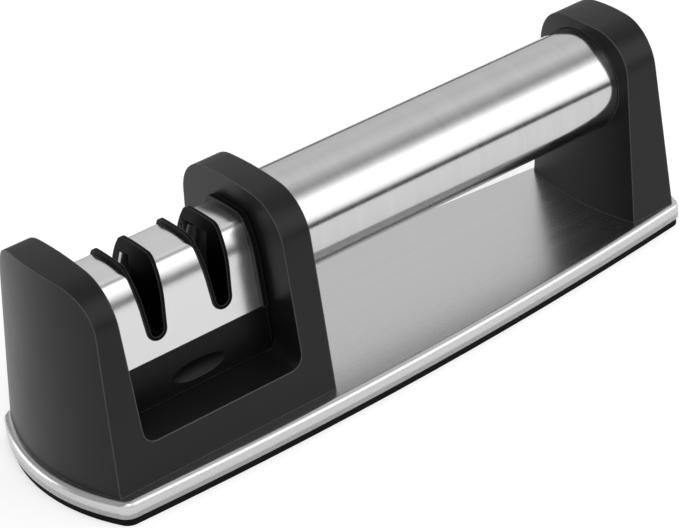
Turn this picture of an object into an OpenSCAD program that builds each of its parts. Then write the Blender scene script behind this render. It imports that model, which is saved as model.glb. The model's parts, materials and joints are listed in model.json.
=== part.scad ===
// Pull-through knife sharpener: a stainless base with a black sharpening head at one end,
// a tube handle carried on two posts, and a lift-out cassette with a coarse and a fine slot.
// Lengths in millimetres. X runs along the tool from the head to the handle end, Z is up,
// and the origin is on the table under the middle of the base.

/* [Base] */
// Overall length of the base
base_l = 196; // [185:1:215]
// Greatest width of the base
base_w = 58; // [56:0.5:64]
// Width of the base where the handle end's corners begin
base_tail_w = 43.4; // [42:0.2:50]
// Distance from the head end to the widest place
base_widest = 62; // [50:1:75]
// Height of the plate's top above the table
base_h = 6.7; // [6:0.1:9]
// Radius of the two bowed ends
base_end_r = 54; // [48:1:80]
// Radius of the plate's corners in plan
base_corner_r = 4; // [3.2:0.1:6]
// Radius of the rolled rim
rim_r = 1.6; // [1.2:0.1:2]
// Thickness of the steel sheet
sheet_t = 0.8; // [0.5:0.05:1]
// Thickness of the rubber pad
pad_t = 2.3; // [1.6:0.1:2.6]
// How far the pad stays inside the steel's outline
pad_inset = 0.6; // [0.4:0.1:1.2]

/* [Housing] */
// Distance from the head end of the base to the housing's bowed end, at its foot
housing_x = 2.3; // [1.5:0.1:4]
// Radius of the housing's bowed end
housing_end_r = 57; // [45:1:90]
// Lean of the bowed end towards the handle, in degrees
housing_end_lean = 5.4; // [0:0.1:7]
// Thickness of the end wall at its foot, out to the bowed end
end_wall_t = 15.2; // [13:0.1:18]
// Lean of the recess's end wall, in degrees
recess_lean = 1.1; // [0:0.1:2]
// Length of the recess that holds the cassette
recess_l = 46.4; // [44:0.1:52]
// Thickness of the front handle post
post_t = 8.2; // [7.5:0.1:11]
// Half width of the housing at its foot
housing_foot_hw = 24.5; // [23:0.1:26]
// Half width of the housing at its shoulders
housing_shoulder_hw = 20; // [18:0.1:22]
// Height of the housing above the table
housing_h = 60.3; // [59:0.1:66]
// Radius of the shoulders
shoulder_r = 12; // [6:0.5:14]
// Rise of the crowned tops
crown = 2; // [1:0.1:3]
// Height of the ledge beside the cassette
ledge_z = 17; // [15:0.1:19]
// Radius in the recess's lower corners
recess_r = 3.6; // [2:0.1:5]
// Wall of the moulded posts
wall_t = 2.4; // [1.8:0.1:3]
// Height of the pocket's floor
pocket_z = 11.6; // [10.8:0.1:12.4]

/* [Rear post] */
// Distance from the base's handle end to the post's outer face, at its foot
rear_x = 4.9; // [4:0.1:8]
// Thickness of the post at its foot
rear_t = 17.8; // [15.5:0.1:20]
// Half width at the foot
rear_foot_hw = 20.1; // [18.5:0.1:21]
// Half width at the shoulders
rear_shoulder_hw = 16.3; // [15.5:0.1:19]
// Height above the table
rear_h = 59.3; // [58.5:0.1:65]
// Radius of the bowed inner face
rear_in_r = 82; // [60:1:120]
// Radius of the bowed outer face
rear_out_r = 140; // [80:1:200]
// Lean of the inner face, in degrees
rear_in_lean = 4.5; // [0:0.1:5]
// Lean of the outer face, in degrees
rear_out_lean = 2.6; // [0:0.1:4]

/* [Handle] */
// Outer diameter of the handle tube
tube_d = 28; // [25:0.5:29]
// Wall of the handle tube
tube_t = 0.8; // [0.6:0.05:1.2]
// Height of the tube's axis
tube_z = 42.5; // [41:0.1:44]
// Depth that the tube sits into each post
socket_depth = 2; // [1.2:0.1:3]
// Length of each plug inside the tube
plug_l = 12; // [8:0.5:20]
// Diameter of the tie rod
rod_d = 4; // [3:0.1:5]

/* [Cassette] */
// Half width of the cover at its lower edge
cover_foot_hw = 11.4; // [11:0.1:12.4]
// Half width of the cover at its shoulders
cover_shoulder_hw = 9.4; // [9:0.1:10]
// Height of the cover's lower edge
cover_z = 29.7; // [27:0.1:31]
// Height of the cover's top
cover_h = 53.3; // [52.5:0.1:55]
// Rise of the cover's crowned top
cover_crown = 0.6; // [0.4:0.1:1.2]
// Radius of the cover's shoulders
cover_r = 2.6; // [2:0.1:3.2]
// Height where the cover's sides begin to bow in
bow_z = 43; // [41:0.1:45]
// Radius of the bowed part of the cover's sides
bow_r = 20; // [17:0.5:26]
// Thickness of the cover's sheet
cover_t = 0.6; // [0.4:0.05:0.8]
// Thickness of the cassette's end cheeks
cheek_t = 1.6; // [1.2:0.1:2]
// How far the cheeks and slot rims stand proud of the cover
rim_proud = 0.9; // [0.5:0.1:1.2]
// Half width of the skirt at the ledge
skirt_hw = 12; // [11.8:0.1:12.6]
// Length of the finger dimple
dimple_l = 15.2; // [10:0.2:20]
// Height of the finger dimple
dimple_h = 5; // [4:0.1:7]
// Depth of the finger dimple
dimple_depth = 1; // [0.6:0.1:1.2]

/* [Slots] */
// Distance between the two slots
slot_pitch = 19.1; // [18:0.1:20]
// Half width of a slot's opening in the cover at the top
slot_top_hw = 4.4; // [4.2:0.1:4.8]
// Half width of a slot's opening near the bottom
slot_low_hw = 2.85; // [2.7:0.05:3.1]
// Height of the slots' lower end
slot_z = 33.9; // [33:0.1:34.5]
// Wall of a slot guide
guide_t = 1; // [0.8:0.05:1.2]
// Angle of each abrasive from the upright, in degrees
hone_angle = 20; // [17:0.5:22]
// Height where the knife's edge meets the abrasives
vee_z = 42; // [41:0.1:43]
// Thickness of a carbide blade
blade_t = 1; // [0.8:0.05:1.1]
// Width of a carbide blade
blade_w = 4; // [3:0.1:4.4]
// Diameter of a ceramic rod
ceramic_d = 3.2; // [2.8:0.1:3.4]
// Height of the abrasives' upper ends
hone_top_z = 49.2; // [48:0.1:49.8]
// Height of the abrasives' lower ends
hone_low_z = 31; // [29:0.1:33]

/* [Hidden] */
$fn = 96;
// Segments of the very large arcs
large_fn = 1440;

// One overrun for all cuts, and the clearances
over = 1;
fit_gap = 0.15;
slip_gap = 0.3;
bore_gap = 0.05;
// Overlap of an arc with the flats it rounds, so that their edges cross
weld = 0.002;

// Length stations, from the middle of the base
head_end = -base_l / 2;
tail_end = base_l / 2;
widest_x = head_end + base_widest;
housing_end = head_end + housing_x;
recess_x0 = housing_end + end_wall_t;
recess_x1 = recess_x0 + recess_l;
post_x1 = recess_x1 + post_t;
rear_out_x = tail_end - rear_x;
rear_in_x = rear_out_x - rear_t;

// Side arcs of the base, from its greatest width to its width at the tail
tail_station_share = 0.947;
tail_run = head_end + base_l * tail_station_share - widest_x;
tail_drop = (base_w - base_tail_w) / 2;
side_r = (tail_run * tail_run + tail_drop * tail_drop) / (2 * tail_drop);

// Heights of the base's layers
sheet_z = base_h - sheet_t;

// Height of the tube over the plate, and the rear post's faces at the tube's axis
axis_rise = tube_z - base_h;
rear_in_axis_x = rear_in_x + axis_rise * tan(rear_in_lean);
tube_x0 = post_x1 - socket_depth;
tube_x1 = rear_in_axis_x + socket_depth;
tube_bore_d = tube_d - 2 * tube_t;

// Tie rod
rod_head_d = 2 * rod_d;
rod_head_t = 0.7 * rod_d;
rod_x0 = recess_x1 + 0.2 * rod_d;
nut_x = tube_x1 + wall_t;
nut_t = 0.8 * rod_d;
nut_d = 2 * rod_d;
rod_x1 = nut_x + nut_t + 0.3 * rod_d;

// Base screws, standing in the housing's and the rear post's bosses
screw_d = 3;
screw_head_d = 5.6;
screw_head_t = 1.8;
screw_l = 16;
boss_d = 7;
boss_h = 14;
rib_t = 1.6;
head_screw_x = housing_end + end_wall_t * 0.56;
head_screw_y = housing_foot_hw * 0.5;
post_screw_x = recess_x1 + post_t / 2;
post_screw_y = housing_foot_hw * 0.66;
rear_screw_x = rear_in_x + rear_t * 0.5;
rear_screw_y = rear_foot_hw * 0.5;
screw_places = [[head_screw_x, head_screw_y], [head_screw_x, -head_screw_y],
    [post_screw_x, post_screw_y], [post_screw_x, -post_screw_y],
    [rear_screw_x, rear_screw_y], [rear_screw_x, -rear_screw_y]];

// Cassette, between the recess's two walls
cheek_x0 = recess_x0 + slip_gap;
cheek_x1 = recess_x1 - 2 * slip_gap;
cover_x0 = cheek_x0 + cheek_t;
cover_x1 = cheek_x1 - cheek_t;
cassette_x = (cheek_x0 + cheek_x1) / 2;
slots_shift = 1.2;
coarse_x = cassette_x + slots_shift - slot_pitch / 2;
fine_x = cassette_x + slots_shift + slot_pitch / 2;
skirt_z = ledge_z + slip_gap;
tongue_hw = skirt_hw - 1.6 * cheek_t;
tongue_z = pocket_z + slip_gap;
body_wall = 1.5;
cavity_set_in = 0.9;
cavity_foot_hw = cover_foot_hw - cover_t - body_wall - cavity_set_in;
roof_t = 2.6;
cavity_top_z = cover_h - cover_t - roof_t;
cavity_x0 = cover_x0 + 0.4 * cheek_t;
cavity_x1 = cover_x1 - 0.4 * cheek_t;
bottom_t = 1.6;
bottom_hw = cavity_foot_hw - fit_gap;
bottom_top_z = tongue_z + bottom_t;
small_screw_d = 2;
small_head_d = 3;
small_head_t = 1;
small_screw_l = 7;
small_boss_d = 4.4;
small_boss_h = 9;
small_boss_bite = 0.6;
small_screw_x0 = cavity_x0 + small_boss_d / 2 - small_boss_bite;
small_screw_x1 = cavity_x1 - small_boss_d / 2 + small_boss_bite;
small_screw_y = cavity_foot_hw - small_boss_d / 2 + small_boss_bite;
partition_t = 1.6;
partition_x = (coarse_x + fine_x) / 2;

// Slot outlines
slot_low_r = slot_low_hw;
slot_low_z = slot_z + slot_low_r;
slot_rim_z = cover_h + rim_proud + over;
guide_hw = skirt_hw + rim_proud;
side_proud = 0.35;
skirt_set_in = 0.1;
skirt_top_hw = cover_foot_hw - skirt_set_in;

// Abrasives: the rear one of each pair leans over the handle side
blade_gap = 0.1;
blade_rear_y = 5.1;
blade_front_y = blade_rear_y - blade_gap - blade_t;
blade_cross_z = vee_z - blade_w / 2 / sin(hone_angle);
rod_rear_y = 4.3;
rod_front_y = rod_rear_y - ceramic_d - 2 * blade_gap;
rod_cross_z = vee_z - ceramic_d / 2 / sin(hone_angle);
coarse_window_y = 2.6;
coarse_window_rear_y = 6.9;
fine_window_rear_y = 6.1;
holder_hw = 8;
holder_rear_y = 6.5;
holder_low_z = bottom_top_z;
holder_top_z = hone_top_z - slip_gap;

// Sprung carrier of the ceramic rods: it nods about a pin at its back, against a leaf spring
nod_angle = 3;
pin_d = 2;
pin_y = 4.8;
pin_z = 27.4;
pin_bite = 1;
pin_x0 = partition_x - partition_t / 4;
pin_x1 = cavity_x1 + pin_bite;
nod_travel = (cover_h - pin_z) * sin(nod_angle);
fine_window_y = rod_front_y - ceramic_d / 2 - nod_travel - slip_gap;
foot_front_y = -7.4;
foot_z = 17;
foot_t = 3.6;
block_z = bottom_top_z + small_boss_h + 2 * slip_gap;
spring_t = 0.35;
spring_w = 6;
spring_y = -3.4;
spring_chord = 8;
spring_rise = foot_z - bottom_top_z - slip_gap;
spring_r = (spring_chord * spring_chord / 4 + spring_rise * spring_rise) / (2 * spring_rise);

// Circle through the crowned top
function crown_radius(hw, rise) = (hw * hw + rise * rise) / (2 * rise);

// Unit vector up a drafted side, from its foot to its shoulder
function side_way(p) = let (v = [p[1] - p[0], p[3] - p[4] - p[2]]) v / norm(v);

// A profile is [foot half width, shoulder half width, foot height, top height, crown rise, shoulder radius]
function inward(v) = [-v[1], v[0]];
function crown_centre(p) = [0, p[3] - crown_radius(p[1], p[4])];
function shoulder_centre(p) = let (
        way = side_way(p),
        from = [p[0], p[2]] + inward(way) * p[5] - crown_centre(p),
        reach = crown_radius(p[1], p[4]) - p[5],
        run = sqrt(pow(from * way, 2) - from * from + reach * reach) - from * way)
    crown_centre(p) + from + run * way;

housing_profile = [housing_foot_hw, housing_shoulder_hw, base_h, housing_h, crown, shoulder_r];
rear_profile = [rear_foot_hw, rear_shoulder_hw, base_h, rear_h, crown, shoulder_r];
cover_profile = [cover_foot_hw, cover_shoulder_hw, cover_z, cover_h, cover_crown, cover_r];
rim_profile = [cover_foot_hw + side_proud, cover_shoulder_hw + side_proud, cover_z, cover_h + rim_proud,
    cover_crown, cover_r + side_proud];

// Meeting point of two circles, on the left of the line from a to b
function circles_meet(a, ra, b, rb) = let (
        d = norm(b - a),
        along = (ra * ra - rb * rb + d * d) / (2 * d),
        off = sqrt(ra * ra - along * along),
        u = (b - a) / d)
    a + along * u + off * [-u[1], u[0]];

// Drafted outline with round shoulders and a crowned top, grown by grow, cut off at low
module crowned_outline(p, grow = 0, low = undef) {
    way = side_way(p);
    away = -inward(way);
    c = shoulder_centre(p);
    top = crown_centre(p);
    on_crown = (c - top) / norm(c - top);
    foot = [p[0], p[2]] + away * grow;
    z = is_undef(low) ? p[2] : low;
    base = foot + way * (z - foot[1]) / way[1];
    tip = foot + way * (2 * (p[3] - p[2])) / way[1];
    reach = 3 * (p[5] + grow);
    difference() {
        intersection() {
            translate(top)
                circle(r = crown_radius(p[1], p[4]) + grow, $fn = large_fn);
            polygon([base, tip, [-tip[0], tip[1]], [-base[0], base[1]]]);
        }
        for (side = [-1, 1])
            scale([side, 1])
                polygon([c, c + away * reach, c + (away + on_crown) * reach, c + on_crown * reach]);
    }
    for (side = [-1, 1])
        translate([side * c[0], c[1]])
            circle(r = p[5] + grow + weld);
}

// Outline of the cover: like a crowned outline, but above bow_z its sides bow in on an arc
module bowed_outline(p, grow = 0, low = undef) {
    way = side_way(p);
    away = -inward(way);
    start = [p[0], p[2]] + way * (bow_z - p[2]) / way[1];
    bow = start - away * bow_r;
    top = crown_centre(p);
    c = circles_meet(bow, bow_r - p[5], top, crown_radius(p[1], p[4]) - p[5]);
    on_bow = (c - bow) / norm(c - bow);
    on_crown = (c - top) / norm(c - top);
    join = start + away * grow;
    z = is_undef(low) ? p[2] : low;
    base = join + way * (z - join[1]) / way[1];
    reach = 3 * (p[5] + grow);
    floor_z = join[1] - p[5];
    polygon([base, join, [-join[0], join[1]], [-base[0], base[1]]]);
    difference() {
        intersection() {
            translate(top)
                circle(r = crown_radius(p[1], p[4]) + grow, $fn = large_fn);
            translate(bow)
                circle(r = bow_r + grow + weld, $fn = large_fn / 2);
            translate([-bow[0], bow[1]])
                circle(r = bow_r + grow + weld, $fn = large_fn / 2);
            translate([-p[0], floor_z])
                square([2 * p[0], p[3]]);
        }
        for (side = [-1, 1])
            scale([side, 1])
                polygon([c, c + on_bow * reach, c + (on_bow + on_crown) * reach, c + on_crown * reach]);
    }
    for (side = [-1, 1])
        translate([side * c[0], c[1]])
            circle(r = p[5] + grow + 2 * weld);
}

// Extrudes a Y-Z outline along X from x0 to x1
module along_x(x0, x1) {
    translate([x0, 0, 0])
        rotate([90, 0, 90])
            linear_extrude(x1 - x0)
                children();
}

// Extrudes an X-Z outline along Y, over both sides
module across_y(half) {
    translate([0, half, 0])
        rotate([90, 0, 0])
            linear_extrude(2 * half)
                children();
}

// Rod along X
module rod_x(x0, x1, d) {
    translate([x0, 0, 0])
        rotate([0, 90, 0])
            cylinder(d = d, h = x1 - x0);
}

// Disc with a rounded top edge
module soft_disc(r, h, edge, fn) {
    if (edge > 0)
        rotate_extrude($fn = fn) {
            square([r, h - edge]);
            square([r - edge, h]);
            translate([r - edge, h - edge])
                intersection() {
                    circle(r = edge);
                    square(edge);
                }
        }
    else
        cylinder(r = r, h = h, $fn = fn);
}

// Plan of the base, drawn in by inset, from z0 to z1, with a rounded top edge: a core, two bowed
// sides, two bowed ends that stop on the radii where the corners start, and four corner discs
module base_form(inset, z0, z1, edge) {
    h = z1 - z0;
    head = corner_centre(-1);
    tail = corner_centre(1);
    head_side = way_out(side_centre, head);
    tail_side = way_out(side_centre, tail);
    head_out = way_out(end_centre(-1), head);
    tail_out = way_out(end_centre(1), tail);
    translate([0, 0, z0]) {
        linear_extrude(h)
            polygon([head, tail, flip(tail), flip(head)]);
        for (side = [-1, 1])
            intersection() {
                translate([side_centre[0], side * side_centre[1], 0])
                    soft_disc(side_r - inset, h, edge, large_fn);
                linear_extrude(h)
                    scale([1, side])
                        polygon([head, head + head_side, tail + tail_side, tail]);
            }
        for (end = [[-1, head, head_out], [1, tail, tail_out]])
            intersection() {
                translate([end_centre(end[0])[0], 0, 0])
                    soft_disc(base_end_r - inset, h, edge, large_fn / 4);
                linear_extrude(h)
                    polygon([end[1], end[1] + end[2], flip(end[1] + end[2]), flip(end[1])]);
            }
        intersection() {
            for (corner = [head, tail, flip(tail), flip(head)])
                translate(corner)
                    soft_disc(base_corner_r - inset + weld, h + weld, edge > 0 ? edge + weld : 0, $fn);
            translate([-base_l, -base_l, 0])
                cube([2 * base_l, 2 * base_l, h]);
        }
    }
}

function flip(v) = [v[0], -v[1]];

// Centres of the base's side arc on +Y and of its end arcs
side_centre = [widest_x, base_w / 2 - side_r];
function end_centre(end) = [end * (base_l / 2 - base_end_r), 0];

// Centre of a corner's arc at the head end or the handle end, on the +Y side
function corner_centre(end) = end < 0
    ? circles_meet(side_centre, side_r - base_corner_r, end_centre(end), base_end_r - base_corner_r)
    : circles_meet(end_centre(end), base_end_r - base_corner_r, side_centre, side_r - base_corner_r);

// Run from a corner's centre to well outside the outline, along the radius of an arc about c
function way_out(c, corner) = 3 * base_corner_r * (corner - c) / norm(corner - c);

// Clearance bores or pilot bores for the base screws
module screw_bores(d, z0, z1) {
    for (place = screw_places)
        translate([place[0], place[1], z0])
            cylinder(d = d, h = z1 - z0);
}

module base_plate() {
    color([0.78, 0.78, 0.8])
        difference() {
            base_form(0, pad_t, base_h, rim_r);
            base_form(sheet_t, pad_t - over, sheet_z, 0);
            screw_bores(screw_d + 2 * slip_gap, sheet_z - over, base_h + over);
        }
}

module base_chassis() {
    color([0.1, 0.1, 0.1])
        difference() {
            base_form(sheet_t + fit_gap, pad_t, sheet_z, 0);
            screw_bores(screw_d + 2 * slip_gap, pad_t - over, sheet_z + over);
            screw_bores(screw_head_d + 2 * slip_gap, pad_t - over, pad_t + slip_gap + screw_head_t);
        }
}

module non_slip_pad() {
    color([0.05, 0.05, 0.05])
        base_form(pad_inset, 0, pad_t, 0);
}

// Standing cylinder whose axis leans, used to bow the ends of the mouldings; turn is the side
// of its near face and inset draws it in
module leaning_cylinder(foot_x, turn, lean, r, inset = 0) {
    translate([foot_x - turn * r / cos(lean), 0, base_h])
        rotate([0, lean, 0])
            translate([0, 0, -housing_h])
                cylinder(r = r - inset, h = 3 * housing_h, $fn = large_fn / 2);
}

// U of the recess, seen from the front: the end wall leans, the lower corners are round
module recess_outline() {
    top_z = housing_h + over;
    lean = tan(recess_lean);
    foot = recess_x0 - (ledge_z - base_h) * lean;
    top = recess_x0 - (top_z - base_h) * lean;
    difference() {
        polygon([[foot, ledge_z], [recess_x1, ledge_z], [recess_x1, top_z], [top, top_z]]);
        difference() {
            translate([foot - recess_r, ledge_z - recess_r])
                square([2 * recess_r, 2 * recess_r]);
            translate([foot + recess_r, ledge_z + recess_r])
                circle(r = recess_r);
        }
        difference() {
            translate([recess_x1 - recess_r, ledge_z - recess_r])
                square([2 * recess_r, 2 * recess_r]);
            translate([recess_x1 - recess_r, ledge_z + recess_r])
                circle(r = recess_r);
        }
    }
}

// Pair of screw bosses, each tied to the walls at both ends by a rib
module ribbed_bosses(x, y, x0, x1) {
    for (side = [-1, 1]) {
        translate([x, side * y, 0])
            cylinder(d = boss_d, h = base_h + boss_h);
        translate([x0, side * y - rib_t / 2, 0])
            cube([x1 - x0, rib_t, base_h + boss_h]);
    }
}

module sharpener_housing() {
    cavity_end = recess_x0 - wall_t;
    rail_in = skirt_hw + wall_t;
    rail_out = housing_foot_hw - wall_t - 0.8 * crown;
    color([0.09, 0.09, 0.095])
        difference() {
            intersection() {
                along_x(housing_end - over, post_x1)
                    crowned_outline(housing_profile);
                leaning_cylinder(housing_end, -1, housing_end_lean, housing_end_r);
            }
            across_y(housing_foot_hw + over)
                recess_outline();
            // Seat of the cassette, through the recess's round corners and down into the pocket
            translate([recess_x0, -skirt_hw - slip_gap, ledge_z])
                cube([recess_l, 2 * (skirt_hw + slip_gap), housing_h]);
            translate([recess_x0 + cheek_t, -tongue_hw - slip_gap, pocket_z])
                cube([recess_l - 2 * cheek_t, 2 * (tongue_hw + slip_gap), housing_h]);
            // Hollow of the end wall, open below
            difference() {
                intersection() {
                    along_x(housing_end, cavity_end)
                        crowned_outline(housing_profile, -wall_t, base_h - over);
                    leaning_cylinder(housing_end, -1, housing_end_lean, housing_end_r, wall_t);
                }
                ribbed_bosses(head_screw_x, head_screw_y, housing_end, recess_x0);
            }
            // Hollows under the ledges
            for (side = [0, 1])
                mirror([0, side, 0])
                    translate([recess_x0, rail_in, base_h - over])
                        cube([recess_l - wall_t, rail_out - rail_in, ledge_z - wall_t - base_h + over]);
            // Socket of the tube, and the tie rod's bore and counterbore
            translate([0, 0, tube_z]) {
                rod_x(tube_x0, post_x1 + over, tube_d + 2 * fit_gap);
                rod_x(recess_x1 - over, post_x1 + over, rod_d + 2 * fit_gap);
                rod_x(recess_x1 - over, rod_x0 + rod_head_t, rod_head_d + 2 * fit_gap);
            }
            screw_bores(screw_d, base_h - over, base_h + screw_l);
        }
}

module rear_post() {
    color([0.09, 0.09, 0.095])
        difference() {
            intersection() {
                along_x(rear_in_x - over, rear_out_x + over)
                    crowned_outline(rear_profile);
                leaning_cylinder(rear_in_x, -1, rear_in_lean, rear_in_r);
                leaning_cylinder(rear_out_x, 1, -rear_out_lean, rear_out_r);
            }
            // Hollow, open below
            difference() {
                intersection() {
                    along_x(rear_in_x, rear_out_x)
                        crowned_outline(rear_profile, -wall_t, base_h - over);
                    leaning_cylinder(rear_in_x, -1, rear_in_lean, rear_in_r, wall_t);
                    leaning_cylinder(rear_out_x, 1, -rear_out_lean, rear_out_r, wall_t);
                }
                ribbed_bosses(rear_screw_x, rear_screw_y, rear_in_x, rear_out_x);
                // Thick floor behind the socket
                translate([0, 0, tube_z])
                    rod_x(rear_in_x, nut_x, tube_d + 2 * wall_t);
            }
            translate([0, 0, tube_z]) {
                rod_x(rear_in_x - over, tube_x1, tube_d + 2 * fit_gap);
                rod_x(rear_in_x - over, nut_x + over, rod_d + 2 * fit_gap);
            }
            screw_bores(screw_d, base_h - over, base_h + screw_l);
        }
}

module handle_tube() {
    color([0.8, 0.8, 0.82])
        translate([0, 0, tube_z])
            difference() {
                rod_x(tube_x0, tube_x1, tube_d);
                rod_x(tube_x0 - over, tube_x1 + over, tube_bore_d);
            }
}

// Cup-shaped plug inside one end of the tube
module tube_plug(x, turn) {
    lip = 0.15 * plug_l;
    color([0.12, 0.12, 0.12])
        translate([x, 0, tube_z])
            rotate([0, 0, turn])
                difference() {
                    rod_x(0, plug_l, tube_bore_d - 2 * bore_gap);
                    difference() {
                        rod_x(2 * lip, plug_l + over, tube_bore_d - 2 * wall_t);
                        rod_x(0, plug_l, boss_d + wall_t);
                    }
                    rod_x(-over, plug_l + over, rod_d + 2 * fit_gap);
                }
}

module front_tube_plug() {
    tube_plug(tube_x0, 0);
}

module rear_tube_plug() {
    tube_plug(tube_x1, 180);
}

module tie_rod() {
    color([0.7, 0.7, 0.7])
        translate([0, 0, tube_z])
            difference() {
                union() {
                    rod_x(rod_x0, rod_x1, rod_d);
                    rod_x(rod_x0, rod_x0 + rod_head_t, rod_head_d);
                }
                translate([rod_x0 - over, 0, 0])
                    rotate([0, 90, 0])
                        cylinder(d = rod_d, h = over + rod_head_t / 2, $fn = 6);
            }
}

module tie_rod_nut() {
    color([0.7, 0.7, 0.7])
        translate([nut_x, 0, tube_z])
            rotate([0, 90, 0])
                difference() {
                    cylinder(d = nut_d, h = nut_t, $fn = 6);
                    translate([0, 0, -over])
                        cylinder(d = rod_d + 2 * bore_gap, h = nut_t + 2 * over);
                }
}

// Round-head screw pointing up from z, with a cross slot under its head
module up_screw(d, l, head_d, head_t) {
    slot_w = 0.2 * head_d;
    difference() {
        union() {
            cylinder(d = head_d, h = head_t);
            cylinder(d = d - 2 * bore_gap, h = l);
        }
        for (turn = [0, 90])
            rotate([0, 0, turn])
                translate([-0.32 * head_d, -slot_w / 2, -over])
                    cube([0.64 * head_d, slot_w, over + head_t / 2]);
    }
}

module base_screws() {
    color([0.75, 0.75, 0.75])
        for (place = screw_places)
            translate([place[0], place[1], pad_t + slip_gap])
                up_screw(screw_d, screw_l, screw_head_d, screw_head_t);
}

// Tapered outline of a slot, drawn in by inset, open at the top
module slot_outline(inset) {
    r = slot_low_r - inset;
    lean = (slot_top_hw - slot_low_hw) / (cover_h - slot_low_z);
    low = r / cos(atan(lean));
    top = low + lean * (slot_rim_z - slot_low_z);
    hull_low = slot_low_z - r * sin(atan(lean));
    translate([0, slot_low_z])
        circle(r = r + weld);
    polygon([[-r * cos(atan(lean)), hull_low], [r * cos(atan(lean)), hull_low],
        [top, slot_rim_z], [-top, slot_rim_z]]);
}

// Half outline of the cassette's skirt, from the cover's lower edge down to the ledge
module skirt_outline() {
    polygon([[-skirt_hw, skirt_z], [skirt_hw, skirt_z], [skirt_top_hw, cover_z], [-skirt_top_hw, cover_z]]);
}

// Finger dimple: the outside of a ring sunk into the skirt
module dimple(side) {
    r_up = (dimple_h * dimple_h / 4 + dimple_depth * dimple_depth) / (2 * dimple_depth);
    r_long = (dimple_l * dimple_l / 4 + dimple_depth * dimple_depth) / (2 * dimple_depth);
    dimple_z = (skirt_z + cover_z) / 2 - 0.3 * dimple_h;
    wall_y = skirt_hw - (skirt_hw - skirt_top_hw) * (dimple_z - skirt_z) / (cover_z - skirt_z);
    translate([coarse_x + slot_pitch / 2, side * (wall_y + r_long - dimple_depth), dimple_z])
        rotate_extrude()
            translate([r_long - r_up, 0])
                circle(r = r_up);
}

// Inside of the cassette body, from its bottom up to the roof under the cover
module cassette_cavity() {
    low_hw = cavity_foot_hw;
    top_hw = holder_rear_y + slip_gap;
    polygon([[-low_hw, tongue_z - over], [low_hw, tongue_z - over], [low_hw, cover_z],
        [top_hw, cavity_top_z], [-top_hw, cavity_top_z], [-low_hw, cover_z]]);
}

module cassette_body() {
    color([0.08, 0.08, 0.085])
        difference() {
            union() {
                along_x(cover_x0, cover_x1)
                    bowed_outline(cover_profile, -cover_t);
                along_x(cheek_x0, cheek_x1)
                    skirt_outline();
                for (x = [cheek_x0, cover_x1])
                    along_x(x, x + cheek_t)
                        bowed_outline(cover_profile, rim_proud);
                translate([recess_x0 + cheek_t + slip_gap, -tongue_hw, tongue_z])
                    cube([recess_l - 2 * (cheek_t + slip_gap), 2 * tongue_hw, skirt_z - tongue_z + fit_gap]);
            }
            difference() {
                along_x(cavity_x0, cavity_x1)
                    cassette_cavity();
                translate([partition_x - partition_t / 2, -skirt_hw, bottom_top_z])
                    cube([partition_t, 2 * skirt_hw, cover_h]);
                for (x = [small_screw_x0, small_screw_x1])
                    for (y = [-small_screw_y, small_screw_y])
                        translate([x, y, bottom_top_z])
                            cylinder(d = small_boss_d, h = small_boss_h);
            }
            for (x = [coarse_x, fine_x])
                translate([x, 0, 0])
                    across_y(guide_hw + over)
                        slot_outline(0);
            for (side = [-1, 1])
                dimple(side);
            translate([0, pin_y, pin_z])
                rod_x(pin_x0 - fit_gap, pin_x1 + fit_gap, pin_d + 2 * bore_gap);
            for (x = [small_screw_x0, small_screw_x1])
                for (y = [-small_screw_y, small_screw_y])
                    translate([x, y, bottom_top_z - over])
                        cylinder(d = small_screw_d, h = over + small_screw_l);
        }
}

module cassette_cover() {
    color([0.82, 0.82, 0.83])
        difference() {
            along_x(cover_x0, cover_x1)
                difference() {
                    bowed_outline(cover_profile);
                    bowed_outline(cover_profile, -cover_t, cover_z - over);
                }
            for (x = [coarse_x, fine_x])
                translate([x, 0, 0])
                    across_y(guide_hw + over)
                        slot_outline(0);
        }
}

// Trough that lines one slot, with a window where the abrasives cross it
module slot_guide(window_y, window_rear_y) {
    window_hw = slot_top_hw + over;
    color([0.07, 0.07, 0.07])
        difference() {
            intersection() {
                across_y(guide_hw)
                    difference() {
                        slot_outline(bore_gap);
                        slot_outline(guide_t);
                    }
                along_x(-window_hw, window_hw)
                    bowed_outline(rim_profile);
            }
            translate([-window_hw, window_y, slot_z - over])
                cube([2 * window_hw, window_rear_y - window_y, cavity_top_z - slot_z + over]);
        }
}

module coarse_slot_guide() {
    translate([coarse_x, 0, 0])
        slot_guide(coarse_window_y, coarse_window_rear_y);
}

// Half width of a guide's inside at a height
function guide_inside(z) = let (lean = (slot_top_hw - slot_low_hw) / (cover_h - slot_low_z))
    (slot_low_r - guide_t) / cos(atan(lean)) + lean * (z - slot_low_z);

module fine_slot_guide() {
    pip_d = 2.6;
    pip_bore_d = 1.1;
    pip_y = 7.8;
    pip_z = 48.4;
    pip_x = guide_inside(pip_z);
    translate([fine_x, 0, 0])
        difference() {
            union() {
                slot_guide(fine_window_y, fine_window_rear_y);
                color([0.07, 0.07, 0.07])
                    intersection() {
                        translate([pip_x - 0.1 * pip_d, pip_y, pip_z])
                            rotate([0, 90, 0])
                                cylinder(d = pip_d, h = guide_t);
                        along_x(0, window_reach())
                            bowed_outline(cover_profile, -cover_t);
                    }
            }
            translate([0, pip_y, pip_z])
                rotate([0, 90, 0])
                    cylinder(d = pip_bore_d, h = pip_x + guide_t / 2);
        }
}

function window_reach() = slot_top_hw + over;

// Places an abrasive that leans over one side of its slot and crosses the middle at z
module leaning(x, z, side) {
    translate([x, 0, z])
        rotate([0, side * hone_angle, 0])
            children();
}

// Run along an abrasive from the crossing to a height
function hone_run(cross_z, z) = (z - cross_z) / cos(hone_angle);

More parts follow.
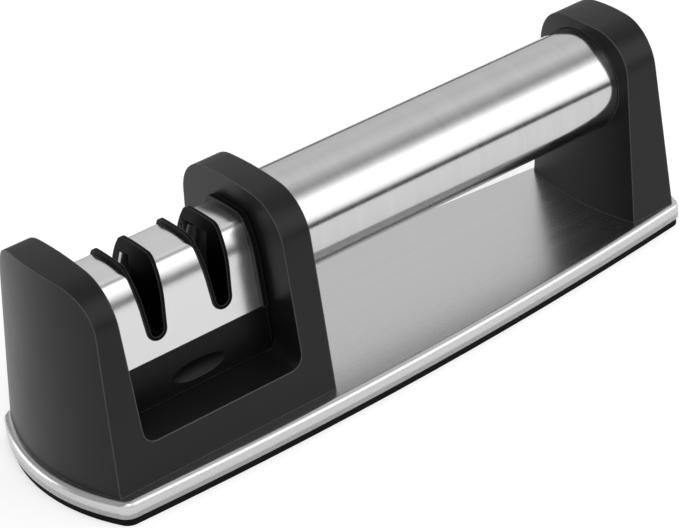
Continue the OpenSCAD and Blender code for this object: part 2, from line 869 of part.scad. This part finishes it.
module carbide_blade(y, side, grow = 0) {
    low = hone_run(blade_cross_z, hone_low_z);
    high = hone_run(blade_cross_z, hone_top_z);
    leaning(coarse_x, blade_cross_z, side)
        translate([-blade_w / 2 - grow, y - grow, low - grow])
            cube([blade_w + 2 * grow, blade_t + 2 * grow, high - low + 2 * grow]);
}

module coarse_blade_front() {
    color([0.55, 0.55, 0.57])
        carbide_blade(blade_front_y, -1);
}

module coarse_blade_rear() {
    color([0.55, 0.55, 0.57])
        carbide_blade(blade_rear_y, 1);
}

// Block that carries a pair of abrasives on both sides of a slot
module holder_block(x, front_y) {
    difference() {
        translate([x - holder_hw, front_y, holder_low_z])
            cube([2 * holder_hw, holder_rear_y - front_y, holder_top_z - holder_low_z]);
        translate([x, 0, 0])
            across_y(guide_hw + over)
                slot_outline(-slip_gap);
    }
}

module coarse_holder() {
    color([0.16, 0.16, 0.17])
        difference() {
            holder_block(coarse_x, coarse_window_y + slip_gap);
            carbide_blade(blade_front_y, -1, bore_gap);
            carbide_blade(blade_rear_y, 1, bore_gap);
        }
}

module ceramic_rod(y, side, grow = 0) {
    low = hone_run(rod_cross_z, hone_low_z);
    high = hone_run(rod_cross_z, hone_top_z);
    leaning(fine_x, rod_cross_z, side)
        translate([0, y, low - grow])
            cylinder(d = ceramic_d + 2 * grow, h = high - low + 2 * grow);
}

module ceramic_rod_front() {
    color([0.2, 0.2, 0.21])
        ceramic_rod(rod_front_y, -1);
}

module ceramic_rod_rear() {
    color([0.2, 0.2, 0.21])
        ceramic_rod(rod_rear_y, 1);
}

module fine_carrier() {
    front_y = rod_front_y - ceramic_d / 2 - 2 * slip_gap;
    color([0.16, 0.16, 0.17])
        difference() {
            union() {
                translate([fine_x - holder_hw, front_y, block_z])
                    cube([2 * holder_hw, holder_rear_y - front_y, holder_top_z - block_z]);
                translate([fine_x - holder_hw / 2, front_y, foot_z])
                    cube([holder_hw, holder_rear_y - front_y, block_z - foot_z + over]);
                translate([fine_x - holder_hw / 2, foot_front_y, foot_z])
                    cube([holder_hw, holder_rear_y - foot_front_y, foot_t]);
            }
            translate([fine_x, 0, 0])
                across_y(guide_hw + over)
                    slot_outline(-slip_gap);
            translate([0, pin_y, pin_z])
                rod_x(pin_x0 - over, pin_x1 + over, pin_d + 2 * bore_gap);
            ceramic_rod(rod_front_y, -1, bore_gap);
            ceramic_rod(rod_rear_y, 1, bore_gap);
        }
}

module fine_pivot_pin() {
    color([0.7, 0.7, 0.7])
        translate([0, pin_y, pin_z])
            rod_x(pin_x0, pin_x1, pin_d);
}

module fine_leaf_spring() {
    color([0.6, 0.6, 0.62])
        along_x(fine_x - spring_w / 2, fine_x + spring_w / 2)
            intersection() {
                translate([spring_y, bottom_top_z + slip_gap / 2 + spring_rise - spring_r])
                    difference() {
                        circle(r = spring_r);
                        circle(r = spring_r - spring_t);
                    }
                translate([spring_y - spring_chord, bottom_top_z + slip_gap / 2])
                    square([2 * spring_chord, 2 * spring_rise]);
            }
}

module cassette_bottom() {
    color([0.1, 0.1, 0.1])
        difference() {
            translate([cavity_x0 + fit_gap, -bottom_hw, tongue_z])
                cube([cavity_x1 - cavity_x0 - 2 * fit_gap, 2 * bottom_hw, bottom_t]);
            for (x = [small_screw_x0, small_screw_x1])
                for (y = [-small_screw_y, small_screw_y])
                    translate([x, y, tongue_z - over]) {
                        cylinder(d = small_screw_d + 2 * fit_gap, h = bottom_t + 2 * over);
                        cylinder(d = small_head_d + 2 * fit_gap, h = over + small_head_t);
                    }
        }
}

module cassette_screws() {
    color([0.75, 0.75, 0.75])
        for (x = [small_screw_x0, small_screw_x1])
            for (y = [-small_screw_y, small_screw_y])
                translate([x, y, tongue_z])
                    up_screw(small_screw_d, small_screw_l, small_head_d, small_head_t);
}

base_plate();
base_chassis();
non_slip_pad();
sharpener_housing();
rear_post();
handle_tube();
front_tube_plug();
rear_tube_plug();
tie_rod();
tie_rod_nut();
base_screws();
cassette_body();
cassette_cover();
coarse_slot_guide();
fine_slot_guide();
coarse_blade_front();
coarse_blade_rear();
coarse_holder();
ceramic_rod_front();
ceramic_rod_rear();
fine_carrier();
fine_pivot_pin();
fine_leaf_spring();
cassette_bottom();
cassette_screws();
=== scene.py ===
import json
import math

import bmesh
import bpy
from mathutils import Matrix, Vector


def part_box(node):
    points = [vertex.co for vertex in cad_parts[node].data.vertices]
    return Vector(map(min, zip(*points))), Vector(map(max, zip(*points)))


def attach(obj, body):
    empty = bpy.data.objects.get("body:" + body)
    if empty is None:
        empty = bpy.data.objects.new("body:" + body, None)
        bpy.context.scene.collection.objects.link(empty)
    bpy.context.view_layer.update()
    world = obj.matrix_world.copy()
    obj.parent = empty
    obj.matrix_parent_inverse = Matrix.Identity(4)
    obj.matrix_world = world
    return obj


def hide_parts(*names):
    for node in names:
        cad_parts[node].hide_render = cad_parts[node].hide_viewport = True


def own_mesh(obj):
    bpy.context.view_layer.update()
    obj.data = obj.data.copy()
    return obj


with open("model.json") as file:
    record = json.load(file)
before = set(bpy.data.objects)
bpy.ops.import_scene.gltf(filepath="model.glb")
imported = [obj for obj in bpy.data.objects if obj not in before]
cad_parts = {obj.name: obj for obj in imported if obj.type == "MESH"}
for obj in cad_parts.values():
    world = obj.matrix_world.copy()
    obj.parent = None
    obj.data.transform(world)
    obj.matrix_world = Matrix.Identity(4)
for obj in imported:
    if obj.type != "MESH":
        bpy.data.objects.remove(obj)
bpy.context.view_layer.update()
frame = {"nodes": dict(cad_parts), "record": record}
nodes = frame["nodes"]
scene = bpy.context.scene


# Nodes

BEVEL_SAMPLES = 6


def clean_tree(owner, output):
    owner.use_nodes = True
    tree = owner.node_tree
    tree.nodes.clear()
    return tree, tree.nodes.new(output)


def coords(tree, scale=(1, 1, 1)):
    tex = tree.nodes.new("ShaderNodeTexCoord")
    mapping = tree.nodes.new("ShaderNodeMapping")
    mapping.inputs["Scale"].default_value = scale
    tree.links.new(tex.outputs["Object"], mapping.inputs["Vector"])
    return mapping.outputs["Vector"]


def noise(tree, vector, scale, detail=2, roughness=0.5):
    node = tree.nodes.new("ShaderNodeTexNoise")
    node.inputs["Scale"].default_value = scale
    node.inputs["Detail"].default_value = detail
    node.inputs["Roughness"].default_value = roughness
    tree.links.new(vector, node.inputs["Vector"])
    return node.outputs["Fac"]


def spread(tree, value, low, high, from_low=0.3, from_high=0.7):
    node = tree.nodes.new("ShaderNodeMapRange")
    node.inputs["From Min"].default_value = from_low
    node.inputs["From Max"].default_value = from_high
    node.inputs["To Min"].default_value = low
    node.inputs["To Max"].default_value = high
    tree.links.new(value, node.inputs["Value"])
    return node.outputs["Result"]


def ramp(tree, value, stops):
    node = tree.nodes.new("ShaderNodeValToRGB")
    while len(node.color_ramp.elements) < len(stops):
        node.color_ramp.elements.new(0.5)
    for element, (place, colour) in zip(node.color_ramp.elements, stops):
        element.position = place
        element.color = (*colour, 1)
    tree.links.new(value, node.inputs["Fac"])
    return node.outputs["Color"]


def calculate(tree, operation, *values):
    """Math node whose values are numbers or the outputs of other nodes."""
    node = tree.nodes.new("ShaderNodeMath")
    node.operation = operation
    for socket, value in zip(node.inputs, values):
        if isinstance(value, (int, float)):
            socket.default_value = value
        else:
            tree.links.new(value, socket)
    return node.outputs[0]


def shader(tree, kind, **values):
    node = tree.nodes.new(kind)
    for socket, value in values.items():
        node.inputs[socket].default_value = value
    return node.outputs[0]


def mix_shaders(tree, share, first, second):
    """Shader that goes from first to second as share goes from 0 to 1."""
    node = tree.nodes.new("ShaderNodeMixShader")
    for socket, source in zip(node.inputs, (share, first, second)):
        tree.links.new(source, socket)
    return node.outputs[0]


def rounded_normal(tree, radius):
    node = tree.nodes.new("ShaderNodeBevel")
    node.samples = BEVEL_SAMPLES
    node.inputs["Radius"].default_value = radius
    return node.outputs["Normal"]


def bump(tree, bsdf, height, strength, distance, edge):
    """Surface relief over edges that are rounded by a small radius."""
    node = tree.nodes.new("ShaderNodeBump")
    node.inputs["Strength"].default_value = strength
    node.inputs["Distance"].default_value = distance
    tree.links.new(rounded_normal(tree, edge), node.inputs["Normal"])
    tree.links.new(height, node.inputs["Height"])
    tree.links.new(node.outputs["Normal"], bsdf.inputs["Normal"])


# Materials. Lengths are in metres.

STREAK_SCALES = (40, 2600)
BAND_SCALES = (6, 420)
STEEL_RELIEF = 0.00002
PLASTIC_RELIEF = 0.00003
CLOUD_SCALE = 45
# Radius of the mask for the painted edge highlight
EDGE_HIGHLIGHT_R = 0.0005
EDGE_DOTS = (0.88, 0.99)


def edge_share(tree, radius):
    """How far a point lies on a small rounded edge, 0 on a face and 1 on the edge: the mask of the painted
    edge highlight.
    """
    surface = tree.nodes.new("ShaderNodeNewGeometry")
    dot = tree.nodes.new("ShaderNodeVectorMath")
    dot.operation = "DOT_PRODUCT"
    tree.links.new(rounded_normal(tree, radius), dot.inputs[0])
    tree.links.new(surface.outputs["Normal"], dot.inputs[1])
    return spread(tree, dot.outputs["Value"], 1, 0, *EDGE_DOTS)


def principled(name):
    mat = bpy.data.materials.new(name)
    tree, out = clean_tree(mat, "ShaderNodeOutputMaterial")
    bsdf = tree.nodes.new("ShaderNodeBsdfPrincipled")
    tree.links.new(bsdf.outputs["BSDF"], out.inputs["Surface"])
    return mat, tree, bsdf


def stretched(along, scales):
    """Noise scale with its lines along one axis, or round the x axis."""
    length, across = scales
    return {"x": (length, across, across),
            "y": (across, length, across),
            "round": (across, length, length)}[along]


def brushed(name, colour, rough, along, streak, grain, edge=0.0002):
    """Steel with fine lines running one way: streaks in roughness and colour, and a light bump."""
    mat, tree, bsdf = principled(name)
    lines = noise(tree, coords(tree, stretched(along, STREAK_SCALES)), 1, detail=3, roughness=0.6)
    bands = noise(tree, coords(tree, stretched(along, BAND_SCALES)), 1)
    both = calculate(tree, "MULTIPLY_ADD", lines, 0.5, calculate(tree, "MULTIPLY", bands, 0.5))
    low = tuple(c * (1 - 2 * streak) for c in colour)
    high = tuple(min(1, c * (1 + streak)) for c in colour)
    tree.links.new(ramp(tree, both, [(0.35, low), (0.62, high)]), bsdf.inputs["Base Color"])
    tree.links.new(spread(tree, both, rough - 0.02, rough + 0.03), bsdf.inputs["Roughness"])
    bsdf.inputs["Metallic"].default_value = 1
    bump(tree, bsdf, lines, grain, STEEL_RELIEF, edge)
    return mat


def moulded(name, colour, rough, texture=0.12, size=2400, sheen=0.5, edge=0.0004, line=None):
    """Moulded plastic: fine spark texture in the bump, a little cloudiness in the gloss, and a painted
    highlight where a grey is given: small rounded edges painted paler, in place of the light they catch."""
    mat, tree, bsdf = principled(name)
    spots = noise(tree, coords(tree), size, roughness=0.6)
    cloud = noise(tree, coords(tree), CLOUD_SCALE)
    low = tuple(c * 0.88 for c in colour)
    high = tuple(c * 1.12 for c in colour)
    shade = ramp(tree, cloud, [(0.35, low), (0.65, high)])
    # Painted highlight: the base colour turns a paler grey on small rounded edges, in place of the light they
    # catch
    if line:
        painted_highlight = tree.nodes.new("ShaderNodeMix")
        painted_highlight.data_type = "RGBA"
        tree.links.new(edge_share(tree, EDGE_HIGHLIGHT_R), painted_highlight.inputs["Factor"])
        tree.links.new(shade, painted_highlight.inputs[6])
        painted_highlight.inputs[7].default_value = (line, line, line, 1)
        shade = painted_highlight.outputs[2]
    tree.links.new(shade, bsdf.inputs["Base Color"])
    tree.links.new(spread(tree, cloud, rough - 0.03, rough + 0.04), bsdf.inputs["Roughness"])
    bsdf.inputs["Specular IOR Level"].default_value = sheen
    bump(tree, bsdf, spots, texture, PLASTIC_RELIEF, edge)
    return mat


LOOKS = {
    "brushed_stainless": (brushed, dict(
        colour=(0.58, 0.58, 0.584), rough=0.26, along="x", streak=0.014, grain=0.02)),
    "tube_stainless": (brushed, dict(
        colour=(0.55, 0.55, 0.554), rough=0.13, along="round", streak=0.02, grain=0.05)),
    "cover_stainless": (brushed, dict(
        colour=(0.66, 0.66, 0.664), rough=0.19, along="y", streak=0.01, grain=0.01, edge=0.0001)),
    "chassis_plastic": (moulded, dict(colour=(0.035, 0.035, 0.035), rough=0.6)),
    "pad_rubber": (moulded, dict(
        colour=(0.004, 0.004, 0.004), rough=0.8, texture=0.3, size=900, sheen=0.1)),
    "black_moulding": (moulded, dict(
        colour=(0.008, 0.008, 0.0086), rough=0.36, sheen=0.22, edge=0.0005, line=0.12)),
    "cassette_plastic": (moulded, dict(
        colour=(0.0035, 0.0035, 0.0037), rough=0.34, sheen=0.15, line=0.07)),
    "guide_plastic": (moulded, dict(
        colour=(0.001, 0.001, 0.001), rough=0.35, texture=0.03, sheen=0.05, line=0.06)),
    "grey_plastic": (moulded, dict(colour=(0.05, 0.05, 0.052), rough=0.55)),
    "zinc_steel": (brushed, dict(
        colour=(0.62, 0.63, 0.65), rough=0.3, along="x", streak=0.03, grain=0.05)),
    "tungsten_carbide": (brushed, dict(
        colour=(0.5, 0.5, 0.52), rough=0.35, along="y", streak=0.05, grain=0.2)),
    "dark_ceramic": (moulded, dict(colour=(0.03, 0.03, 0.032), rough=0.5, texture=0.1)),
    "spring_steel": (brushed, dict(
        colour=(0.5, 0.5, 0.52), rough=0.2, along="x", streak=0.02, grain=0.04)),
}
materials = {name: make(name, **look) for name, (make, look) in LOOKS.items()}
slot_of = {part["node"]: part["material_slot"] for part in frame["record"]["subparts"]}
for name, obj in nodes.items():
    obj.data.materials.clear()
    obj.data.materials.append(materials[slot_of[name]])


# Shapes shared by the pieces that are drawn again

def meeting(a, ra, b, rb):
    """Meeting point of two circles, on the left of the line from a to b."""
    d = (b - a).length
    along = (ra * ra - rb * rb + d * d) / (2 * d)
    u = (b - a) / d
    return a + u * along + Vector((-u.y, u.x)) * math.sqrt(ra * ra - along * along)


def arc(centre, radius, start, stop, steps):
    for i in range(steps + 1):
        turn = start + (stop - start) * i / steps
        yield centre + radius * Vector((math.cos(turn), math.sin(turn)))


def arc_after(*arguments):
    """An arc without its first point, to follow on from the arc before it."""
    return list(arc(*arguments))[1:]


def heading(v):
    return math.atan2(v.y, v.x)


def add_mesh(name, verts, faces):
    mesh = bpy.data.meshes.new(name)
    mesh.from_pydata(verts, [], faces)
    obj = bpy.data.objects.new(name, mesh)
    scene.collection.objects.link(obj)
    return obj


def smooth(mesh):
    mesh.polygons.foreach_set("use_smooth", [True] * len(mesh.polygons))


def prism(name, near, far):
    """Solid between two closed rings of as many points, with its faces turned outward."""
    n = len(near)
    faces = [(i, (i + 1) % n, n + (i + 1) % n, n + i) for i in range(n)]
    faces += [tuple(reversed(range(n))), tuple(range(n, 2 * n))]
    obj = add_mesh(name, near + far, faces)
    shape = bmesh.new()
    shape.from_mesh(obj.data)
    bmesh.ops.recalc_face_normals(shape, faces=shape.faces)
    shape.to_mesh(obj.data)
    shape.free()
    return obj


def prism_along_x(name, ring, low_x, high_x):
    return prism(name, [(low_x, v.x, v.y) for v in ring], [(high_x, v.x, v.y) for v in ring])


# The base's sheet again, with its rolled edge finely divided. Lengths are in metres.

BASE_L = 0.196
BASE_W = 0.058
TAIL_W = 0.0434
WIDEST = 0.062
END_R = 0.054
CORNER_R = 0.004
TAIL_STATION = 0.947
RIM_R = 0.0016
SHEET_T = 0.0008
END_STEPS = 24
CORNER_STEPS = 16
SIDE_STEPS = 120
RIM_STEPS = 14


def plan_ring(inset):
    """Outline of the base, drawn in by inset, as points in order."""
    widest = WIDEST - BASE_L / 2
    run = BASE_L * (TAIL_STATION - 0.5) - widest
    drop = (BASE_W - TAIL_W) / 2
    side_r = (run * run + drop * drop) / (2 * drop)
    side = Vector((widest, BASE_W / 2 - side_r))
    head_end = Vector((END_R - BASE_L / 2, 0))
    tail_end = -head_end
    head = meeting(side, side_r - CORNER_R, head_end, END_R - CORNER_R)
    tail = meeting(tail_end, END_R - CORNER_R, side, side_r - CORNER_R)
    tail_turn, side_tail = heading(tail - tail_end), heading(tail - side)
    side_head, head_turn = heading(head - side), heading(head - head_end)
    half = [*arc(tail_end, END_R - inset, 0, tail_turn, END_STEPS),
            *arc_after(tail, CORNER_R - inset, tail_turn, side_tail, CORNER_STEPS),
            *arc_after(side, side_r - inset, side_tail, side_head, SIDE_STEPS),
            *arc_after(head, CORNER_R - inset, side_head, head_turn, CORNER_STEPS),
            *arc_after(head_end, END_R - inset, head_turn, math.pi, END_STEPS)]
    return half + [Vector((v.x, -v.y)) for v in reversed(half[1:-1])]


def rolled_sheet(name, low_z, top_z):
    rings = [(SHEET_T, low_z), (0, low_z)]
    for i in range(RIM_STEPS + 1):
        turn = math.pi / 2 * i / RIM_STEPS
        rings.append((RIM_R * (1 - math.cos(turn)), top_z - RIM_R * (1 - math.sin(turn))))
    rings.append((RIM_R + SHEET_T / 2, top_z))
    verts = [(v.x, v.y, z) for inset, z in rings for v in plan_ring(inset)]
    n = len(verts) // len(rings)
    faces = []
    for k in range(len(rings) - 1):
        for i in range(n):
            j = (i + 1) % n
            faces.append((k * n + i, k * n + j, (k + 1) * n + j, (k + 1) * n + i))
    faces.append(tuple(range((len(rings) - 1) * n, len(rings) * n)))
    obj = add_mesh(name, verts, faces)
    smooth(obj.data)
    return obj


plate_low, plate_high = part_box("base_plate")
sheet = rolled_sheet("rolled_sheet", plate_low[2], plate_high[2])
sheet.data.materials.append(materials["brushed_stainless"])
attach(sheet, "stand")
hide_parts("base_plate")


# The cassette's cover again, with the softer shoulder of the real sheet. Lengths are in metres.

COVER_T = 0.0006
COVER_FOOT_HW = 0.0114
COVER_SHOULDER_HW = 0.0094
COVER_TOP = 0.0530
CROWN_R = 0.032
SHOULDER_R = 0.0032
BOW_Z = 0.0425
BOW_R = 0.024
BEND_STEPS = 20
CROWN_STEPS = 12
SLOT_PITCH = 0.0191
SLOTS_X = -0.05625
SLOT_TOP_HW = 0.0044
SLOT_LOW_HW = 0.00285
SLOT_Z = 0.0339
SLOT_STEPS = 24
OVER = 0.002
SHARP_ANGLE = 30


def cover_ring(inset, foot_z, top_z):
    """Section of the cover in y and z, from foot to foot, drawn in by inset."""
    foot = Vector((COVER_FOOT_HW, foot_z))
    way = (Vector((COVER_SHOULDER_HW, top_z)) - foot).normalized()
    away = Vector((way.y, -way.x))
    bow = foot + way * (BOW_Z - foot_z) / way.y - away * BOW_R
    crown = Vector((0, COVER_TOP - CROWN_R))
    shoulder = meeting(bow, BOW_R - SHOULDER_R, crown, CROWN_R - SHOULDER_R)
    on_bow, on_crown = heading(shoulder - bow), heading(shoulder - crown)
    start = bow + away * (BOW_R - inset)
    half = [start + way * (foot_z - start.y) / way.y,
            *arc(bow, BOW_R - inset, heading(away), on_bow, BEND_STEPS),
            *arc_after(shoulder, SHOULDER_R - inset, on_bow, on_crown, BEND_STEPS),
            *arc_after(crown, CROWN_R - inset, on_crown, math.pi / 2, CROWN_STEPS)]
    return half + [Vector((-v.x, v.y)) for v in reversed(half[:-1])]


def slot_ring(x, top_z):
    """Outline of one slot in x and z: round below, widening to the top and a little over it."""
    low_z = SLOT_Z + SLOT_LOW_HW
    widening = (SLOT_TOP_HW - SLOT_LOW_HW) * (top_z + OVER - low_z) / (top_z - low_z)
    lip = SLOT_LOW_HW + widening
    return [*arc(Vector((x, low_z)), SLOT_LOW_HW, -math.pi, 0, SLOT_STEPS),
            Vector((x + lip, top_z + OVER)), Vector((x - lip, top_z + OVER))]


def cut_away(obj, cutter):
    cut = obj.modifiers.new("slot", "BOOLEAN")
    cut.operation = "DIFFERENCE"
    cut.solver = "EXACT"
    cut.object = cutter
    evaluated = obj.evaluated_get(bpy.context.evaluated_depsgraph_get())
    shaped = bpy.data.meshes.new_from_object(evaluated)
    obj.modifiers.clear()
    obj.data = shaped
    bpy.data.objects.remove(cutter)


def bent_cover(name, low, high):
    ring = cover_ring(0, low[2], high[2]) + list(reversed(cover_ring(COVER_T, low[2], high[2])))
    cover = prism_along_x(name, ring, low[0], high[0])
    reach = high[1] + OVER
    for side in (-0.5, 0.5):
        outline = slot_ring(SLOTS_X + side * SLOT_PITCH, high[2])
        near = [(v.x, -reach, v.y) for v in outline]
        far = [(v.x, reach, v.y) for v in outline]
        cut_away(cover, prism("slot_cutter", near, far))
    smooth(cover.data)
    cover.data.set_sharp_from_angle(angle=math.radians(SHARP_ANGLE))
    return cover


cover = bent_cover("bent_cover", *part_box("cassette_cover"))
cover.data.materials.clear()
cover.data.materials.append(materials["cover_stainless"])
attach(cover, "cassette")
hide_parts("cassette_cover")


# The leaf spring again, as a thin arc across the part's box, with a mesh of its own. Lengths are in metres.

SPRING_T = 0.00035
SPRING_STEPS = 24


def leaf_spring(name, low, high):
    rise = high[2] - low[2]
    half_chord = (high[1] - low[1]) / 2
    radius = (half_chord * half_chord + rise * rise) / (2 * rise)
    centre = Vector(((low[1] + high[1]) / 2, high[2] - radius))
    ring = []
    for r, order in ((radius, 1), (radius - SPRING_T, -1)):
        end = math.asin((radius - rise) / r)
        ring += list(arc(centre, r, end, math.pi - end, SPRING_STEPS))[::order]
    return prism_along_x(name, ring, low[0], high[0])


spring_low, spring_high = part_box("fine_leaf_spring")
spring = leaf_spring("leaf_spring", spring_low, spring_high)
spring.data.materials.append(materials["spring_steel"])
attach(spring, "cassette")
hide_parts("fine_leaf_spring")
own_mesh(spring)


# Lamps

LAMP_POWER = 1.2


def soft_light(name, place, target, size):
    data = bpy.data.lights.new(name, "AREA")
    data.shape = "RECTANGLE"
    data.size, data.size_y = size
    data.energy = LAMP_POWER
    obj = bpy.data.objects.new(name, data)
    scene.collection.objects.link(obj)
    obj.location = place
    obj.rotation_euler = (Vector(target) - Vector(place)).to_track_quat("-Z", "Y").to_euler()


soft_light("key", place=(-0.35, -0.60, 0.80), target=(0, 0, 0.03), size=(0.5, 0.5))
soft_light("end", place=(-0.55, 0.62, 0.16), target=(-0.09, 0, 0.03), size=(0.5, 0.3))


# World: an even grey room that lights the object, white where it is seen

ROOM_GREY = 0.7
WHITE = (1, 1, 1, 1)


def seen(tree):
    """1 for the camera's rays, and for those that metal and glass pass on to the background."""
    path = tree.nodes.new("ShaderNodeLightPath")
    share = path.outputs["Is Camera Ray"]
    for ray in ("Is Glossy Ray", "Is Transmission Ray"):
        share = calculate(tree, "MAXIMUM", share, path.outputs[ray])
    return share


def grey(level):
    return (level, level, level, 1)


world = bpy.data.worlds.new("studio")
scene.world = world
tree, out = clean_tree(world, "ShaderNodeOutputWorld")
room = shader(tree, "ShaderNodeBackground", Color=grey(ROOM_GREY))
white = shader(tree, "ShaderNodeBackground", Color=WHITE)
tree.links.new(mix_shaders(tree, seen(tree), room, white), out.inputs["Surface"])


# Tent of long strips along the tool: brightness by the angle in degrees from straight up, positive to the
# front. It is full to the right of FADE_TO and falls to LEFT_SHARE at the tool's middle and left of it.

STRIPS = [(-90, 0.14), (-84, 0.71), (-53, 0.84), (-36, 0.82), (-20, 0.91), (-7, 0.95), (6, 0.71), (18, 0.49),
          (25, 0.68), (32, 1.16), (41, 2.04), (72, 2.04), (82, 1.43), (88, 0.41), (90, 0.07)]
STRIP_PEAK = 2.04
BELOW = 0.07
BELOW_FROM = 91
TENT_R = 2
TENT_HALF_L = 10
TENT_REACH = 105
TENT_STEPS = 70
LEFT_SHARE = 0.55
FADE_TO = 0.7


def tent_material():
    mat = bpy.data.materials.new("tent_strips")
    tree, out = clean_tree(mat, "ShaderNodeOutputMaterial")
    way = tree.nodes.new("ShaderNodeTexCoord")
    parts = tree.nodes.new("ShaderNodeSeparateXYZ")
    tree.links.new(way.outputs["Object"], parts.inputs[0])
    forward = calculate(tree, "MULTIPLY", parts.outputs["Y"], -1)
    angle = calculate(tree, "ARCTAN2", forward, parts.outputs["Z"])
    levels = [(-BELOW_FROM, BELOW), *STRIPS, (BELOW_FROM, BELOW)]
    stops = [((degrees + 180) / 360, (level / STRIP_PEAK,) * 3) for degrees, level in levels]
    strips = ramp(tree, spread(tree, angle, 0, 1, -math.pi, math.pi), stops)
    strength = spread(tree, parts.outputs["X"], LEFT_SHARE * STRIP_PEAK, STRIP_PEAK, 0, FADE_TO)
    glow = tree.nodes.new("ShaderNodeEmission")
    tree.links.new(strips, glow.inputs["Color"])
    tree.links.new(strength, glow.inputs["Strength"])
    tree.links.new(glow.outputs[0], out.inputs["Surface"])
    return mat


turns = [math.radians(TENT_REACH * (2 * i / TENT_STEPS - 1)) for i in range(TENT_STEPS + 1)]
tent = add_mesh(
    "tent",
    [(x, -TENT_R * math.sin(a), TENT_R * math.cos(a)) for a in turns for x in (-TENT_HALF_L, TENT_HALF_L)],
    [(2 * i, 2 * i + 1, 2 * i + 3, 2 * i + 2) for i in range(TENT_STEPS)])
tent.data.materials.append(tent_material())
tent.visible_camera = False


# White floor: full white to the camera and in the metal, with the object's soft shadow kept, clear from below

FLOOR_SIZE = (0.9, 0.66)
FLOOR_Z = -0.00005
FLOOR_GREY = 0.64
FLOOR_GLOW = 0.54


def floor_material():
    mat = bpy.data.materials.new("floor_white")
    tree, out = clean_tree(mat, "ShaderNodeOutputMaterial")
    diffuse = shader(tree, "ShaderNodeBsdfDiffuse", Color=grey(FLOOR_GREY))
    glow = shader(tree, "ShaderNodeEmission", Color=WHITE, Strength=FLOOR_GLOW)
    both = tree.nodes.new("ShaderNodeAddShader")
    tree.links.new(diffuse, both.inputs[0])
    tree.links.new(glow, both.inputs[1])
    top = mix_shaders(tree, seen(tree), diffuse, both.outputs[0])
    surface = tree.nodes.new("ShaderNodeNewGeometry")
    clear = shader(tree, "ShaderNodeBsdfTransparent")
    tree.links.new(mix_shaders(tree, surface.outputs["Backfacing"], top, clear), out.inputs["Surface"])
    return mat


bpy.ops.mesh.primitive_plane_add(size=1, location=(0, 0, FLOOR_Z))
floor = bpy.context.object
floor.name = "floor"
floor.scale = (*FLOOR_SIZE, 1)
floor.data.materials.append(floor_material())


# Camera at the photograph's place, as solved from the part's edges in it. Angles are in degrees.

AZIMUTH = -34.668
ELEVATION = 31.605
ROLL = -6.093
TARGET = (0.004505, 0.012227, 0.013103)
DISTANCE = 0.7116
FOCAL_PX = 2746.02
PHOTO_W = 680
SENSOR_W = 36
CLIP_START = 0.01

azimuth, elevation, roll = (math.radians(a) for a in (AZIMUTH, ELEVATION, ROLL))
flat = math.cos(elevation)
back = Vector((math.sin(azimuth) * flat, -math.cos(azimuth) * flat, math.sin(elevation)))
right = Vector((math.cos(azimuth), math.sin(azimuth), 0))
up = back.cross(right)
turned_right = math.cos(roll) * right + math.sin(roll) * up
turned_up = -math.sin(roll) * right + math.cos(roll) * up
eye = Vector(TARGET) + DISTANCE * back
camera = bpy.data.objects.new("camera", bpy.data.cameras.new("camera"))
scene.collection.objects.link(camera)
camera.data.sensor_width = SENSOR_W
camera.data.lens = FOCAL_PX * SENSOR_W / PHOTO_W
camera.data.clip_start = CLIP_START
camera.matrix_world = Matrix((
    (turned_right.x, turned_up.x, back.x, eye.x),
    (turned_right.y, turned_up.y, back.y, eye.y),
    (turned_right.z, turned_up.z, back.z, eye.z),
    (0, 0, 0, 1)))
bpy.context.scene.camera = camera
bpy.context.scene.view_settings.view_transform = "Standard"
